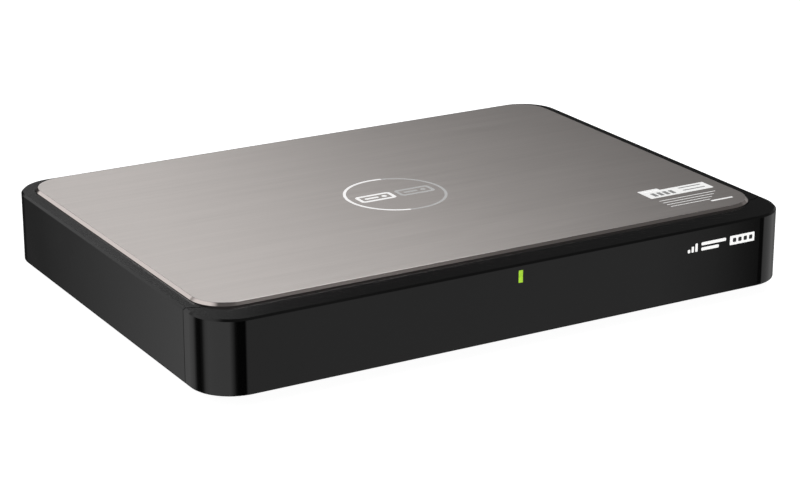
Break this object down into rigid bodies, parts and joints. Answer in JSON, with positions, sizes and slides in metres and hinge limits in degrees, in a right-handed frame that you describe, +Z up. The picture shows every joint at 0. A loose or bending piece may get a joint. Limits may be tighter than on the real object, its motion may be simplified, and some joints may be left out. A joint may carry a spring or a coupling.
{
  "type": "network attached storage",
  "caption": "Flat black network storage box with a brushed aluminium top, pull-off front cover, sliding drive trays and rear ports.",
  "frame": {"origin": "on the floor under the middle of the box", "axes": "+X along the width to the right seen from the front, the front faces -Y, +Z up"},
  "size_m": [0.302, 0.22, 0.0413],
  "materials": {
    "plate_aluminium": "fine brushed, anodised",
    "gloss_black": "piano black gloss",
    "satin_black": "satin moulded",
    "lime_lens": "clear tinted, lit",
    "clear_acrylic": "clear",
    "black_steel": "black powder coat",
    "bare_steel": "zinc plated",
    "screw_steel": "plated",
    "foot_rubber": "matt",
    "frame_plastic": "fine spark texture",
    "handle_plastic": "fine spark texture",
    "board_green": "solder mask",
    "connector_black": "moulded",
    "connector_white": "moulded",
    "ribbon_white": "flat cable",
    "chip_black": "moulded chip",
    "pad_grey": "soft gap pad",
    "sink_aluminium": "extruded",
    "cell_steel": "polished",
    "coil_grey": "ferrite",
    "can_aluminium": "plain",
    "port_steel": "tinned shell",
    "drive_casting": "cast, dark",
    "drive_lid_steel": "stamped"
  },
  "bodies": {
    "chassis": {"top_plate": "plate_aluminium", "top_housing": "satin_black", "bottom_cover": "black_steel", "rubber_feet": "foot_rubber", "case_screws": "screw_steel", "front_frame": "frame_plastic", "front_board": "board_green", "status_led": "connector_white", "infrared_receiver": "chip_black", "ribbon_cable": "ribbon_white", "ribbon_sockets": "connector_white", "drive_cage": "bare_steel", "backplane_board": "board_green", "backplane_screws": "screw_steel", "drive_sockets": "connector_black", "backplane_link": "connector_black", "mainboard": "board_green", "board_spacers": "bare_steel", "board_screws": "screw_steel", "processor": "chip_black", "thermal_pad": "pad_grey", "heat_sink": "sink_aluminium", "heat_sink_pins": "connector_white", "memory_sockets": "connector_black", "coin_cell": "cell_steel", "cell_holder": "connector_black", "storage_module": "board_green", "network_chips": "chip_black", "inductors": "coil_grey", "capacitors": "can_aluminium", "buzzer": "connector_black", "rear_panel": "black_steel", "panel_rivets": "screw_steel", "power_jack": "connector_black", "hdmi_port": "port_steel", "usb_ports": "port_steel", "lan_ports": "port_steel", "power_switch": "connector_black", "reset_switch": "connector_black", "memory_module_1": "board_green", "memory_module_2": "board_green"},
    "cover": {"front_cover": "gloss_black", "status_lens": "lime_lens", "light_guide": "clear_acrylic"},
    "power_key": {"power_button": "satin_black"},
    "reset_key": {"reset_button": "satin_black"},
    "drive_tray_1": {"tray_1": "bare_steel", "tray_1_handle": "handle_plastic", "drive_1_case": "drive_casting", "drive_1_lid": "drive_lid_steel", "drive_1_board": "board_green", "drive_1_connector": "connector_black", "drive_1_screws": "screw_steel"},
    "drive_tray_2": {"tray_2": "bare_steel", "tray_2_handle": "handle_plastic", "drive_2_case": "drive_casting", "drive_2_lid": "drive_lid_steel", "drive_2_board": "board_green", "drive_2_connector": "connector_black", "drive_2_screws": "screw_steel"}
  },
  "joints": [
    {"name": "front_cover_pull", "type": "slide", "parent": "chassis", "child": "cover", "axis": [0, -1, 0], "range_m": [0, 0.32]},
    {"name": "tray_1_slide", "type": "slide", "parent": "chassis", "child": "drive_tray_1", "axis": [0, -1, 0], "range_m": [0, 0.16]},
    {"name": "tray_2_slide", "type": "slide", "parent": "chassis", "child": "drive_tray_2", "axis": [0, -1, 0], "range_m": [0, 0.16]},
    {"name": "power_button_press", "type": "slide", "parent": "chassis", "child": "power_key", "axis": [0, -1, 0], "range_m": [0, 0.0008], "stiffness_N_per_m": 900},
    {"name": "reset_button_press", "type": "slide", "parent": "chassis", "child": "reset_key", "axis": [0, -1, 0], "range_m": [0, 0.0005], "stiffness_N_per_m": 900}
  ],
  "couplings": [
    {"joint": "tray_1_slide", "follows": "front_cover_pull", "ratio": 0.5},
    {"joint": "tray_2_slide", "follows": "front_cover_pull", "ratio": 0.5}
  ]
}
